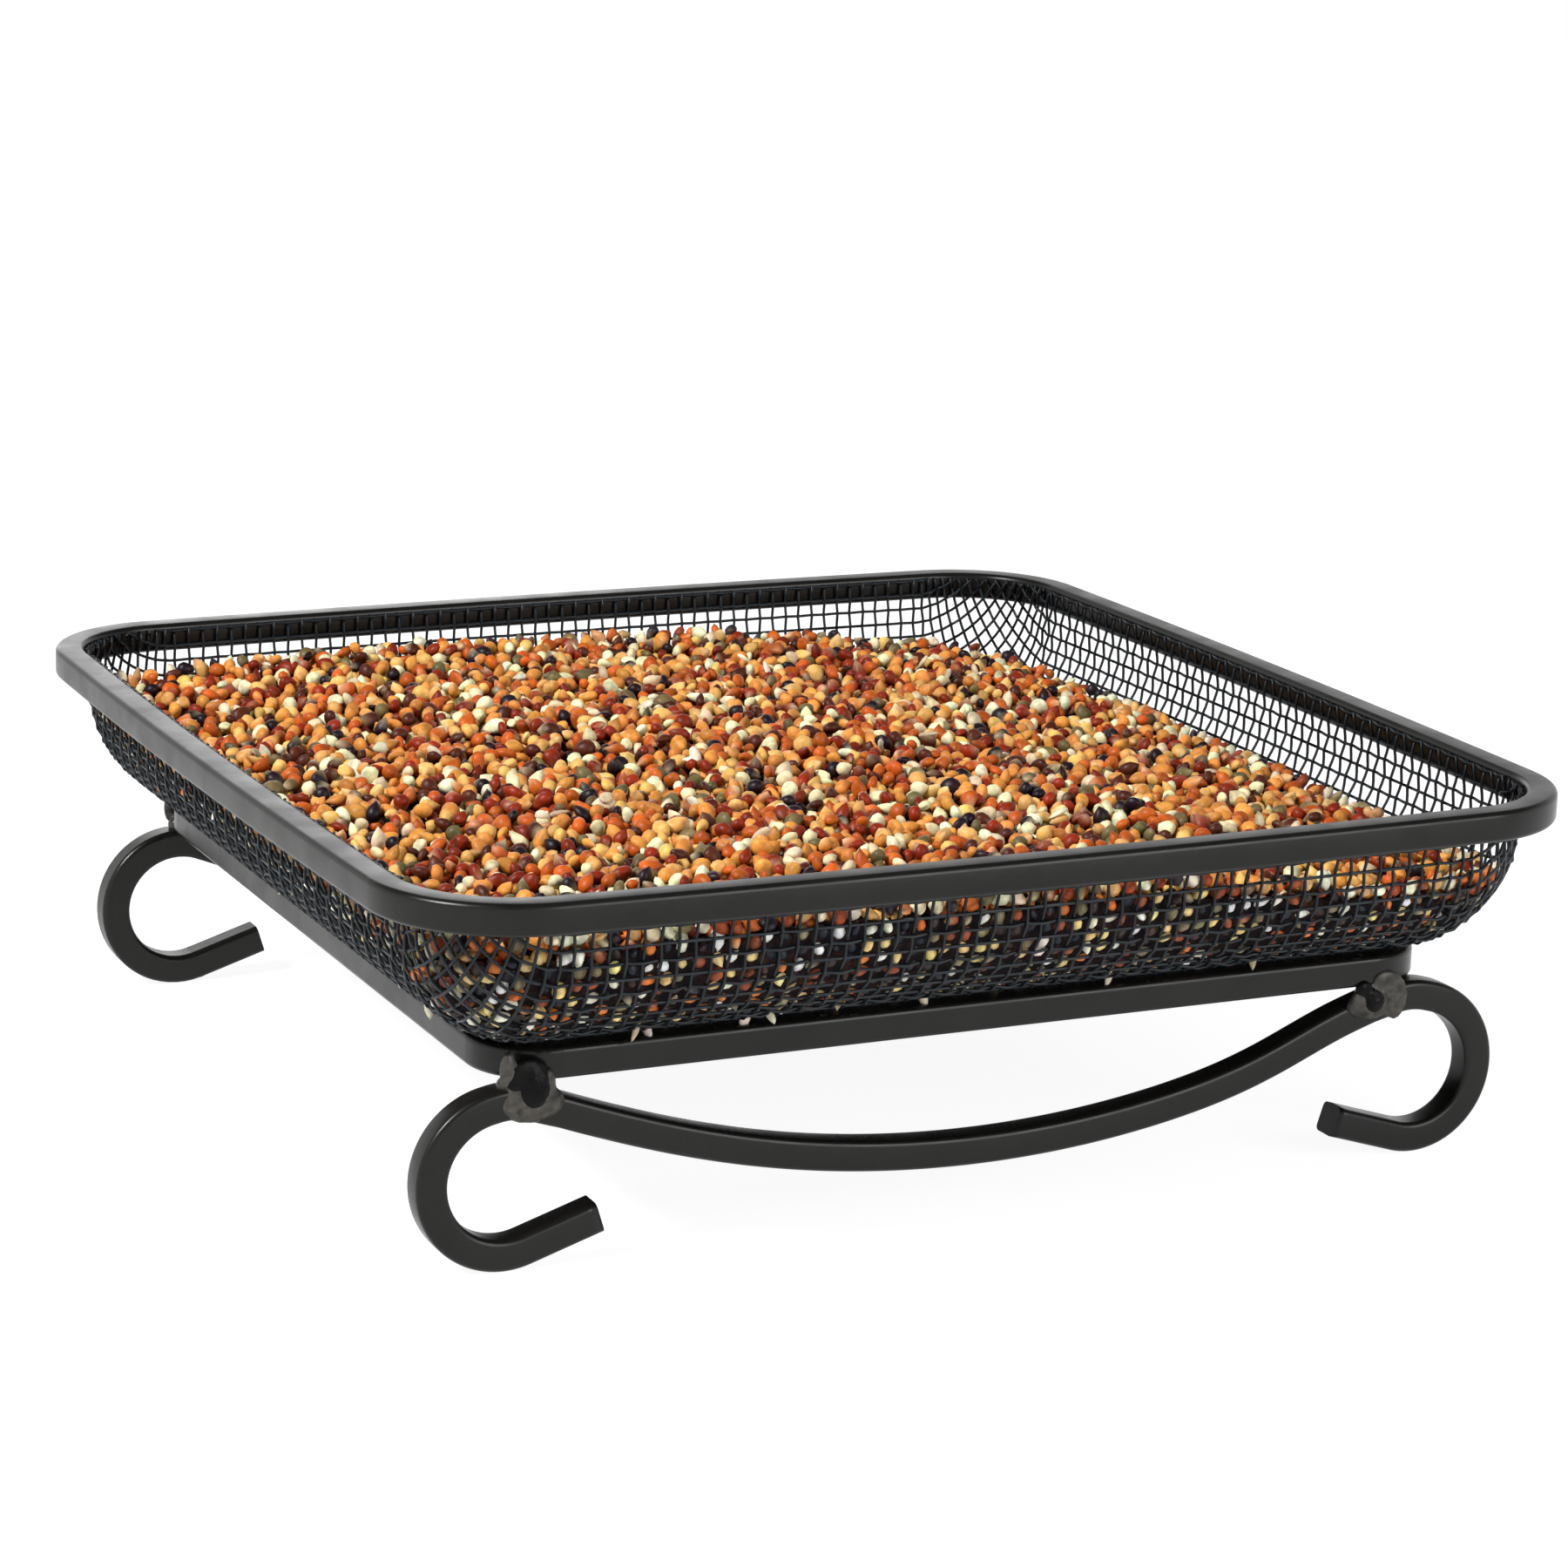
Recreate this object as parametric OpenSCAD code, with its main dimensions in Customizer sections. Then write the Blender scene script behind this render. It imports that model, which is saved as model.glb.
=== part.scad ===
// Ground tray feeder: a basket of woven wire hung inside a square-bar rim, carried by a
// square-bar base frame on two scrolled bar legs, with a heap of seed in the basket.
// Front is -Y, up is +Z, and the origin is on the ground below the middle of the tray.

/* [Rim] */
// Outer width of the rim, side to side
rim_w = 180; // [160:1:240]
// Outer depth of the rim, front to back
rim_d = 180; // [160:1:240]
// Side of the square bar that the rim is bent from
rim_bar = 4.4; // [3.6:0.1:6]
// Outer radius of the rim's corners
rim_corner_r = 20; // [16:0.5:26]

/* [Basket] */
// Diameter of the basket's wire
wire_d = 0.5; // [0.4:0.05:0.6]
// Distance from the rim's top down to the basket's top edge
lip_drop = 0.7; // [0.3:0.1:2]
// Gap between the basket's lip and the rim's inner face
lip_fit = 0.05; // [0.05:0.01:0.2]
// Depth from the rim's top to the basket's underside
basket_depth = 24.5; // [22:0.1:30]
// Radius of the bend between the basket's sides and its floor
bend_r = 17; // [14:0.5:18]
// Corner radius of the basket's flat floor
floor_corner_r = 0.5; // [0.3:0.1:3]
// Ridged cells along each side
cells_per_side = 12; // [8:1:12]
// Ridged cells round each corner
cells_per_corner = 3; // [2, 3]
// Width of a ridge in the weave
ridge_w = 1.2; // [0.8:0.1:1.6]
// Height of each opening through the weave
opening_h = 3.6; // [2:0.2:3.8]

/* [Base frame] */
// Distance of the base frame inwards from the rim's outer faces
frame_inset = 17.5; // [15:0.1:24]
// Side of the square bar that the base frame is bent from
frame_bar = 4.4; // [3.6:0.1:6]
// Outer radius of the base frame's corners
frame_corner_r = 10; // [7:0.5:16]

/* [Legs] */
// Side of the square bar that the legs are bent from
leg_bar = 4.4; // [3.6:0.1:5.5]
// Outer diameter of the scroll at each end of a leg
scroll_d = 25; // [23:0.5:30]
// Drop of a leg's middle below the tops of its scrolls
leg_sag = 14.1; // [11:0.1:16]
// Rise of a scroll's straight tail above level, in degrees
tail_angle = 17.5; // [5:0.5:25]
// Length of a scroll's straight tail
tail_len = 10.8; // [4:0.1:12]

/* [Welds] */
// Gap between the legs' tops and the base frame, which the welds bridge
weld_gap = 0.8; // [0.6:0.1:1.5]
// Width of each weld along its bar, inwards from the middle of the scroll
weld_w = 4.4; // [3:0.1:4.6]
// Radius of the bead on a weld's outer face
bead_r = 2.6; // [2.5:0.1:3.5]
// How far the bead stands out from the faces of the bars
bead_proud = 0.6; // [0.3:0.1:0.8]

/* [Finish] */
// Radius of the bars' long edges
edge_r = 0.8; // [0.4:0.1:1.1]

/* [Seed] */
// Depth from the rim's top to the crown of the heap
seed_drop = 4.9; // [4.7:0.1:9]
// Radius of the heap's crowned top
crown_r = 730; // [500:10:1500]
// How far left of the middle the crown lies
crown_shift = 25; // [0:1:30]
// Height of the broad low lumps in the heap's top
lump_rise = 0.5; // [0:0.1:0.8]
// Distance between the grains that stand out of the heap's top
grain_pitch = 6; // [5.5:0.5:12]
// Height of those grains above the heap's mean surface, and depth of the dips between them
grain_relief = 0.8; // [0.3:0.1:1]
// Clearance between the heap and the basket
seed_fit = 0.1; // [0.05:0.05:0.3]

/* [Hidden] */

// Heights above the ground, from the legs upwards
frame_z = scroll_d + weld_gap;
floor_z = frame_z + frame_bar;
rim_top = floor_z + basket_depth;
rim_z = rim_top - rim_bar;
lip_z = rim_top - lip_drop;
bend_z = floor_z + bend_r;

// The cloth is two wires thick, and the web between its ridges is thinner on both faces
cloth_t = 2 * wire_d;
web_inset = 0.2 * cloth_t;

// Half sizes of the basket over its lip, its corner radius there, and half sizes of its floor
basket_hx = rim_w / 2 - rim_bar - lip_fit;
basket_hy = rim_d / 2 - rim_bar - lip_fit;
basket_r = max(rim_corner_r - rim_bar - lip_fit, bend_r + floor_corner_r);
floor_hx = basket_hx - basket_r;
floor_hy = basket_hy - basket_r;

// Openings lie in rows under the rim, with a level ridge below each row
row_rise = opening_h + ridge_w;
opening_rows = 2;

// Width of a ridge round a corner, in whole degrees so that it meets the cells beside it exactly
corner_ridge = round(ridge_w / basket_r * 180 / PI);

// Half sizes of the base frame, and the upright plane of the front leg's middle
frame_hx = rim_w / 2 - frame_inset;
frame_hy = rim_d / 2 - frame_inset;
leg_y = frame_hy - leg_bar / 2;

// A leg's middle line is two scroll arcs joined by one long sagging arc
scroll_x = frame_hx - frame_bar / 2;
scroll_z = scroll_d / 2;
scroll_r = (scroll_d - leg_bar) / 2;
sag_rise = scroll_r - leg_sag;
sag_r = (scroll_x * scroll_x + sag_rise * sag_rise - scroll_r * scroll_r) / (2 * leg_sag);
sag_z = scroll_z + sag_rise + sag_r;
join_angle = atan2(scroll_x, sag_z - scroll_z);

// A leg's arcs meet inside short sleeves that stand this far proud of the bar, and are this long
sleeve_proud = 0.02;
sleeve_len = 0.6;

// Lengths of the lumps' waves along the tray, across it and aslant
lump_long = 80;
lump_wide = 110;
lump_short = 57;

// Grains lie in offset rows that reach past the basket, and each one strays a little at random
row_pitch = grain_pitch * sqrt(3) / 2;
grain_cols = ceil(rim_w / grain_pitch) + 1;
grain_rows = ceil(rim_d / row_pitch) + 1;
grain_count = (grain_cols + 1) * (grain_rows + 1);
grain_stray = 0.16;
stray_x = rands(-1, 1, grain_count, 5);
stray_y = rands(-1, 1, grain_count, 6);
stray_z = rands(0, 1, grain_count, 7);

// Facets in a full circle, for the bars' edges, for tight bends and for long flat arcs
edge_fn = 24;
bend_fn = 96;
arc_fn = 720;

// How far a cutting shape reaches past what it cuts, and a size beyond the part
over = 1;
far = 300;

// Square bar section with rounded edges, about its middle
module bar_section(side) {
    flat = side - 2 * edge_r;
    square([flat, side], center = true);
    square([side, flat], center = true);
    for (x = [-1, 1], y = [-1, 1])
        translate([x * flat / 2, y * flat / 2]) circle(r = edge_r, $fn = edge_fn);
}

// Runs a section along Y, from one place to another. Its x runs along X, and its y up.
module run(from, to) {
    translate([0, to, 0]) rotate([90, 0, 0]) linear_extrude(to - from) children();
}

// Sweeps a section round a loop of four straight sides and four round corners. The
// section's x is 0 on the loop's outer face, and negative inwards.
module loop(hx, hy, corner_r) {
    for (turn = [0 : 3]) {
        across = turn % 2 == 0 ? hx : hy;
        along = (turn % 2 == 0 ? hy : hx) - corner_r;
        rotate([0, 0, 90 * turn]) {
            translate([across, 0, 0]) run(-along, along) children();
            translate([across - corner_r, along, 0])
                rotate_extrude(angle = 90, $fn = bend_fn) translate([corner_r, 0]) children();
        }
    }
}

// Region inside the basket's section, at a given depth in from its outer face
module inside_section(depth, top) {
    r = bend_r - depth;
    translate([-bend_r, bend_z]) intersection() {
        circle(r = r, $fn = bend_fn);
        translate([0, -r]) square([r, r]);
    }
    translate([-bend_r, bend_z]) square([r, top - bend_z]);
    translate([-basket_r, floor_z + depth]) square([basket_r - bend_r, top - floor_z - depth]);
}

// Section of the basket's cloth between two depths
module cloth_section(outer, inner) {
    difference() {
        inside_section(outer, lip_z);
        inside_section(inner, lip_z + over);
    }
}

// Section of a cell: thin web, thickened at its lip and at the level ridges, with gaps above each ridge
module cell_section() {
    difference() {
        cloth_section(web_inset, cloth_t - web_inset);
        for (row = [1 : opening_rows])
            translate([-far, rim_z - row * row_rise]) square([far, opening_h]);
    }
    intersection() {
        cloth_section(0, cloth_t);
        union() {
            translate([-far, rim_z - ridge_w]) square([far, far]);
            for (row = [1 : opening_rows])
                translate([-far, rim_z - row * row_rise - ridge_w]) square([far, ridge_w]);
            translate([-bend_r / 2 - ridge_w, floor_z - over]) square([ridge_w, basket_depth / 2]);
            translate([-basket_r, floor_z - over]) square([basket_r - bend_r + ridge_w, basket_depth / 2]);
        }
    }
}

// One side of the basket facing +X: a ridge across the section at every cell's end
module basket_side(along) {
    cell = 2 * along / cells_per_side;
    for (k = [0 : cells_per_side - 1]) {
        start = k * cell - along;
        run(start, start + ridge_w) cloth_section(0, cloth_t);
        run(start + ridge_w, start + cell) cell_section();
    }
}

// One corner of the basket, about the corner's centre
module basket_corner() {
    cell = 90 / cells_per_corner;
    for (k = [0 : cells_per_corner - 1]) {
        rotate_extrude(start = k * cell, angle = corner_ridge, $fn = bend_fn)
            translate([basket_r, 0]) cloth_section(0, cloth_t);
        rotate_extrude(start = k * cell + corner_ridge, angle = cell - corner_ridge, $fn = bend_fn)
            translate([basket_r, 0]) cell_section();
    }
}

// The basket's flat floor, with a straight ridge across both faces at every second cell
module basket_floor() {
    translate([-floor_hx, -floor_hy, floor_z + web_inset])
        cube([2 * floor_hx, 2 * floor_hy, cloth_t - 2 * web_inset]);
    for (k = [0 : 2 : cells_per_side - 1]) {
        at = 2 * k / cells_per_side - 1;
        translate([at * floor_hx, -floor_hy, floor_z]) cube([ridge_w, 2 * floor_hy, cloth_t]);
        translate([-floor_hx, at * floor_hy, floor_z]) cube([2 * floor_hx, ridge_w, cloth_t]);
    }
}

module top_rim() {
    color("#2b2a29")
        loop(rim_w / 2, rim_d / 2, rim_corner_r)
            translate([-rim_bar / 2, rim_top - rim_bar / 2]) bar_section(rim_bar);
}

module mesh_basket() {
    color("#1f2426") {
        for (turn = [0 : 3]) {
            across = turn % 2 == 0 ? basket_hx : basket_hy;
            along = turn % 2 == 0 ? floor_hy : floor_hx;
            rotate([0, 0, 90 * turn]) {
                translate([across, 0, 0]) basket_side(along);
                translate([across - basket_r, along, 0]) basket_corner();
            }
        }
        basket_floor();
    }
}

module bottom_frame() {
    color("#2b2a29")
        loop(frame_hx, frame_hy, frame_corner_r)
            translate([-frame_bar / 2, frame_z + frame_bar / 2]) bar_section(frame_bar);
}

// Straight bar in a leg's plane, from the origin along +Y
module leg_bar_run(side, length) {
    rotate([-90, 0, 0]) linear_extrude(length) bar_section(side);
}

// Sleeve over the place where two of a leg's arcs meet
module sleeve() {
    translate([0, -sleeve_len / 2, 0]) leg_bar_run(leg_bar + 2 * sleeve_proud, sleeve_len);
}

// One bar leg: a sagging middle that rolls over into a scroll at each end
module leg(y) {
    color("#2b2a29") translate([0, y, 0]) rotate([90, 0, 0]) {
        translate([0, sag_z, 0])
            rotate_extrude(start = 270 - join_angle, angle = 2 * join_angle, $fn = arc_fn)
                translate([sag_r, 0]) bar_section(leg_bar);
        for (side = [0, 1]) mirror([side, 0, 0]) translate([scroll_x, scroll_z, 0]) {
            rotate_extrude(start = -90 - tail_angle, angle = 180 + tail_angle + join_angle, $fn = bend_fn)
                translate([scroll_r, 0]) bar_section(leg_bar);
            rotate([0, 0, 90 + join_angle]) translate([scroll_r, 0, 0]) sleeve();
            rotate([0, 0, -90 - tail_angle]) translate([scroll_r, 0, 0]) {
                sleeve();
                mirror([0, 1, 0]) leg_bar_run(leg_bar, tail_len);
            }
        }
    }
}

module front_leg() {
    leg(-leg_y);
}

module rear_leg() {
    leg(leg_y);
}

// Section of a weld's neck, between a scroll's top and the base frame, facing inwards
module weld_section() {
    difference() {
        translate([scroll_x - weld_w, scroll_z]) square([weld_w, frame_z - scroll_z]);
        translate([scroll_x, scroll_z]) circle(d = scroll_d, $fn = bend_fn);
    }
}

// Four welds, each a neck between the bars and a round bead on their outer faces
module weld_beads() {
    color("#3a3835") for (x = [0, 1], y = [0, 1])
        mirror([x, 0, 0]) mirror([0, y, 0]) {
            run(frame_hy - min(frame_bar, leg_bar), frame_hy) weld_section();
            translate([scroll_x - weld_w / 2, frame_hy + bead_proud, frame_z - weld_gap]) rotate([90, 0, 0])
                cylinder(r = bead_r, h = bead_proud, $fn = bend_fn);
        }
}

// Height of the heap's mean surface over a place: a broad crown that lies to the left, with low lumps
function heap_z(x, y) =
    rim_top - seed_drop - (x + crown_shift) * (x + crown_shift) / (2 * crown_r)
    + lump_rise * sin(360 * x / lump_long + 60) * cos(360 * y / lump_wide - 20)
    + lump_rise / 2 * sin(360 * (x + y) / lump_short + 120);

// Top of one grain in the heap's pebbled surface, in a lattice of offset rows
function grain(i, j) =
    let (
        n = i + j * (grain_cols + 1),
        x = (i + (j % 2) / 2 - grain_cols / 2 - 0.25 + grain_stray * stray_x[n]) * grain_pitch,
        y = (j - grain_rows / 2 + grain_stray * stray_y[n]) * row_pitch
    )
    [x, y, heap_z(x, y) + grain_relief * stray_z[n]];

// Dip between three grains
function dip(a, b, c) =
    let (p = (a + b + c) / 3)
    [p[0], p[1], heap_z(p[0], p[1]) - grain_relief];

// Block with a pebbled top, which reaches past the basket on all sides and down below its floor
module pebbled_block() {
    at = function (i, j) i + j * (grain_cols + 1);
    tops = [for (j = [0 : grain_rows], i = [0 : grain_cols]) grain(i, j)];
    threes = [for (j = [0 : grain_rows - 1], i = [0 : grain_cols - 1]) each j % 2 == 0
        ? [[at(i, j), at(i + 1, j), at(i, j + 1)], [at(i + 1, j), at(i + 1, j + 1), at(i, j + 1)]]
        : [[at(i, j), at(i + 1, j), at(i + 1, j + 1)], [at(i, j), at(i + 1, j + 1), at(i, j + 1)]]];
    dips = [for (t = threes) dip(tops[t[0]], tops[t[1]], tops[t[2]])];
    edge = concat([for (i = [0 : grain_cols - 1]) at(i, 0)],
                  [for (j = [0 : grain_rows - 1]) at(grain_cols, j)],
                  [for (i = [grain_cols : -1 : 1]) at(i, grain_rows)],
                  [for (j = [grain_rows : -1 : 1]) at(0, j)]);
    feet = [for (k = edge) [tops[k][0], tops[k][1], frame_z]];
    first_dip = len(tops);
    first_foot = first_dip + len(dips);
    slopes = [for (n = [0 : len(threes) - 1], k = [0 : 2])
        [threes[n][(k + 1) % 3], threes[n][k], first_dip + n]];
    walls = [for (k = [0 : len(edge) - 1])
        let (next = (k + 1) % len(edge)) [edge[k], edge[next], first_foot + next, first_foot + k]];
    base = [for (k = [0 : len(edge) - 1]) first_foot + k];
    polyhedron(points = concat(tops, dips, feet), faces = concat(slopes, walls, [base]));
}

// The heap fills the basket to its crowned and pebbled top, which falls away to the right
module bird_seed() {
    depth = cloth_t + seed_fit;
    color("#b06a34") intersection() {
        union() {
            loop(basket_hx, basket_hy, basket_r) inside_section(depth, rim_top);
            translate([-floor_hx, -floor_hy, floor_z + depth])
                cube([2 * floor_hx, 2 * floor_hy, basket_depth - depth]);
        }
        pebbled_block();
    }
}

top_rim();
mesh_basket();
bottom_frame();
front_leg();
rear_leg();
weld_beads();
bird_seed();
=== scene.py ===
import math
import random

import bmesh
import bpy
import numpy as np
from mathutils import Matrix, Vector, noise as mathutils_noise


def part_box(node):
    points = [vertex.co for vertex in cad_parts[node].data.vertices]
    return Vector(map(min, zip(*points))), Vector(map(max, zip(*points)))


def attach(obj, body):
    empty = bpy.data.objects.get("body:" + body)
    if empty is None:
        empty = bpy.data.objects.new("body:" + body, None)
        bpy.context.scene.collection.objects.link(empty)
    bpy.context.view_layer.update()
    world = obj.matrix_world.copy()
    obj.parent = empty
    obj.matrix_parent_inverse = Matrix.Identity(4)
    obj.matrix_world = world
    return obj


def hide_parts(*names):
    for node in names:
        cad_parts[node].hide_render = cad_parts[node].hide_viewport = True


# Ground tray feeder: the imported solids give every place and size, and this script adds the looks.
# Lengths are in metres unless a comment says otherwise. X runs to the right, Y to the back and Z up
# from the ground.

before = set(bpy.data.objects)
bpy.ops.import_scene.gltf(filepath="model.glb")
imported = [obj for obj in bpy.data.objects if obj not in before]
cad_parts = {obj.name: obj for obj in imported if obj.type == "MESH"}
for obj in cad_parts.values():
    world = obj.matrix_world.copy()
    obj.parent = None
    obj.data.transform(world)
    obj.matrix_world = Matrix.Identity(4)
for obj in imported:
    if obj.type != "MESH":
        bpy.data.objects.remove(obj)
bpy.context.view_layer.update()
MM = 0.001

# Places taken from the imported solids
RIM_LO, RIM_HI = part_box("top_rim")
BASKET_LO, BASKET_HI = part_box("mesh_basket")
FRAME_LO, FRAME_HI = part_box("bottom_frame")
LEG_LO, LEG_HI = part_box("front_leg")
RIM_HALF = RIM_HI.x
RIM_TOP = RIM_HI.z
BAR = RIM_HI.z - RIM_LO.z
FLOOR_Z = BASKET_LO.z
LIP_Z = BASKET_HI.z

# Rim: corner radius, bow of each side, points along a side and round a corner
RIM_CORNER = 20 * MM
BOW = 1.0 * MM
SIDE_POINTS = 24
CORNER_POINTS = 22

# Edges of the square bars: their radius, and steps round each
EDGE_R = 0.8 * MM
EDGE_STEPS = 5

# Legs, in millimetres and degrees: sag of the middle, rise and length of the scrolls' tails, and
# the points along the sag, round a scroll and along a tail, the last as shares of its length
LEG_SAG = 14.1
TAIL_ANGLE = 17.5
TAIL_LEN = 10.8
SAG_POINTS = 60
SCROLL_POINTS = 90
TAIL_SHARES = np.linspace(0.1, 1, 8)

# How the front leg rides above its solid, in millimetres: a peak near its right weld, a small lift
# of all its middle that runs out before the scrolls' outer sides, and the heights where both come in
PEAK_RISE = 1.5
PEAK_X = 57
PEAK_WIDTH = 14
LIFT_RISE = 0.75
LIFT_END_X = 72
LIFT_END_RUN = 10
LIFT_LOW_Z = 7
LIFT_FADE = 12

# Wire cloth: wire, pitch, and how far each wire swings to pass its neighbours
WIRE_R = 0.24 * MM
WIRE_SIDES = 5
PITCH = 2.4 * MM
SWING = 0.24 * MM
CLOTH_T = 1.0 * MM

# Basket section: bend radius to the outer face, lean of the sides, and corner radius at the lip
BEND_R = 17.3 * MM
LEAN = math.radians(5)
LIP_FIT = 0.05 * MM
LIP_CORNER = 18 * MM

# A way out from the core is a unit direction, so one of its parts is over a half. It is square to a
# side when the other part is nearly nothing. The last two are the least lengths to divide by.
LEAST_PART = 0.5
SQUARE_PART = 1e-6
LEAST_RHO = 1e-9
LEAST_NORMAL = 1e-12

# Heap: depth of its crown under the rim, the crown's radius and its shift to the left
SEED_DROP = 4.9 * MM
CROWN_R = 730 * MM
CROWN_SHIFT = 25 * MM

# Low lumps of the heap, in millimetres and degrees: their rise, wavelengths and phases
LUMP_RISE = 0.5
LUMP_LONG, LUMP_WIDE, LUMP_SHORT = 80, 110, 57
PHASE_LONG, PHASE_WIDE, PHASE_SHORT = 60, 20, 120

# Core of the heap, dark with painted shade that shows between the seeds: its gap to the cloth on the
# sides and on the floor, its depth under the heap's surface, how far up the side each of its columns
# goes at least, how many columns there are, and the halvings that find where each one ends
CORE_INSET = 0.85 * MM
CORE_LOW_INSET = 0.5 * MM
CORE_DEPTH = 3.4 * MM
CORE_LEAST_RISE = 1.5 * MM
CORE_COLUMNS = 176
CORE_HALVINGS = 14

# Rings of the core, as shares of the way out over the floor, up each column, and of the way from
# the middle of its top to the edge
FLOOR_RINGS = np.linspace(0.05, 1, 8)
SIDE_RINGS = np.linspace(0.08, 1, 14)
TOP_RINGS = np.linspace(0.95, 0.02, 14)

# Where the core's columns start to fan out round a corner, as a share of a side, and over what share
FAN_START = 0.86
FAN_RUN = 0.14

# Seeds dropped on the heap: least and most radius in millimetres, distance of their middles from
# the cloth and from each other as shares of their radii, depth of the bed under the heap's surface,
# and the cell of the grid that finds their neighbours
DROP_RADII = (0.95, 1.45)
DROP_WALL_GAP = 0.9
DROP_TOUCH = 0.86
DROP_BED = 4.2 * MM
DROP_CELL = 3 * MM

# Places tried for each seed, the share of its radius that its middle has to lie under the surface,
# and the misses in a row and the count that end the dropping
DROP_TRIES = 5
DROP_FULL = 0.5
DROP_MISSES = 500
DROP_MOST = 7200

# Seeds in the cloth's openings, in millimetres: shift off the opening's middle, radii, and the part
# of their distance from the cloth that is at random
WALL_SHIFT = 0.3
WALL_RADII = (0.98, 1.25)
WALL_GAP = (0.1, 0.4)

# The rest of that distance as a share of the radius, low down and higher up, how far up the bend low
# goes, and the seeds' least distance under the heap's surface and from each other
WALL_LOW_BACK = 0.75
WALL_BACK = 0.9
WALL_LOW_RUN = 8 * MM
WALL_UNDER_TOP = 0.2 * MM
WALL_APART = 1.75 * MM

# Sorting of the seeds: depth down to which dropped seeds show, parts of the shown heap, height where
# the side starts over the floor, and depth of the rows that line the heap's edge
SHOWN_DEPTH = 1.7 * MM
HEAP_PARTS = 3
SIDE_RISE = 4 * MM
EDGE_ROWS = 2.4 * MM

# Husks that lie on the heap: how many, and how far above a seed's middle each one lies
HEAP_HUSKS = 32
HUSK_LIFT = 1.0 * MM

# Segments and rings of a seed on the heap, of one behind the cloth, of a husk and of a hidden seed
HEAP_DETAIL = (9, 6)
WALL_DETAIL = (9, 5)
HUSK_DETAIL = (7, 5)
HIDDEN_DETAIL = (6, 3)

# Seed of unit size: taper to its germ end, flattening of one side, and height of its tip
SEED_TAPER = 0.2
SEED_FLAT = 0.82
SEED_TIP = 1.22

# Two waves in random directions make each seed lumpy: their height, pace and range of phases
SEED_LUMP = 0.08
SEED_WAVES = 1.5
SEED_PHASES = (0, 6.3)

# Least and most length of a seed and of a husk along their three axes, as shares of the seed's radius
SEED_SHAPE = ((0.85, 1.08), (0.64, 0.92), (0.9, 1.22))
HUSK_SHAPE = ((0.6, 0.85), (0.3, 0.45), (1.1, 1.4))

# Husks that poke through the cloth: tilt along the three axes, lengths in millimetres, and how far
# they stand out in millimetres
POKE_TILT = ((-0.9, 0.9), (-0.3, 0.6), (-0.6, 0.3))
POKE_SHAPE = ((0.5, 0.85), (0.3, 0.5), (0.9, 1.6))
POKE_OUT = (0.0, 0.6)
# Any direction that no husk points along
POKE_ASIDE = (0.3, 0.5, 0.8)

# The wall of each such husk, and its place along the wall and up the bend as shares of each
HUSK_SPOTS = [
    ("front", -0.80, 0.30), ("front", -0.77, 0.15), ("front", -0.55, 0.20), ("front", -0.50, 0.32),
    ("front", -0.34, 0.12), ("front", -0.16, 0.15), ("front", 0.02, 0.10), ("front", 0.30, 0.18),
    ("front", 0.62, 0.25), ("left", -0.85, 0.35), ("left", -0.60, 0.25), ("left", 0.10, 0.30),
]

# Middle of a scroll, and of the gap between a leg and the base frame, where the welds start
SCROLL_X = FRAME_HI.x - BAR / 2
GAP_Z = (LEG_HI.z + FRAME_LO.z) / 2

# Welds, in millimetres inwards, out of the bars' faces and up from the gap: each lump's centre, and
# the centres and radii of the ellipsoids that it runs together from
LEFT_WELD = {
    "weld_skin": ((2.4, -0.4, -0.6), [
        ((0.1, 0.0, 2.6), (1.4, 0.55, 2.7)), ((2.3, -1.6, 0.0), (3.4, 1.8, 1.7)),
        ((3.6, -0.1, -2.5), (4.5, 0.5, 2.6)), ((5.4, 0.0, 0.2), (1.2, 0.55, 2.2))]),
    "weld_drip": ((3.6, -0.2, 0.2), [
        ((2.6, -0.1, 2.0), (2.9, 0.8, 1.8)), ((3.7, 0.2, -0.2), (2.0, 0.95, 2.9)),
        ((0.9, 0.0, 0.6), (1.4, 0.6, 1.0))]),
}
RIGHT_WELD = {
    "weld_skin": ((6.8, -0.4, -1.2), [
        ((4.7, -0.1, -1.6), (2.0, 0.6, 3.2)), ((7.0, -1.4, -0.6), (3.6, 1.6, 1.9)),
        ((8.4, -0.1, -1.8), (3.8, 0.6, 2.7)), ((11.4, -0.1, -2.2), (1.4, 0.4, 1.8)),
        ((6.4, 0.0, 1.4), (2.2, 0.4, 1.2))]),
    "weld_drip": ((8.6, -0.2, -0.8), [
        ((10.2, 0.0, 0.3), (1.3, 0.7, 1.2)), ((8.4, 0.1, -1.7), (1.7, 0.85, 1.7)),
        ((9.3, 0.0, -0.5), (1.2, 0.7, 1.0))]),
}

# A weld's rays: counts from pole to pole and around, reach in millimetres, and halvings to its skin
WELD_ROWS = 48
WELD_COLUMNS = 36
WELD_REACH = 12.0
WELD_HALVINGS = 22

# How tightly its ellipsoids run together, and its roughness: height, pace of its coarse and of its
# fine part, and the share of the fine part
WELD_BLEND = 5
WELD_ROUGH = 0.14
WELD_COARSE = 1.3
WELD_FINE = 3.1
WELD_FINE_SHARE = 0.5

# Camera at the photograph's viewpoint, with its lens and sensor in millimetres
CAM_PLACE = Vector((-0.2752, -0.5851, 0.2051))
CAM_AZIMUTH = math.radians(25.39)
CAM_ELEVATION = math.radians(14.05)
CAM_ROLL = math.radians(1.62)
CAM_LENS = 102.17
CAM_SENSOR = 36
CAM_CLIP = (0.01, 100)

# Floor: half its width, its grey and roughness, its glow, and the share of glow that is seen
GROUND_HALF = 20
GROUND_GREY = 0.86
GROUND_ROUGH = 0.9
GROUND_GLOW = 1.32
GROUND_SHARE = 0.69

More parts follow.
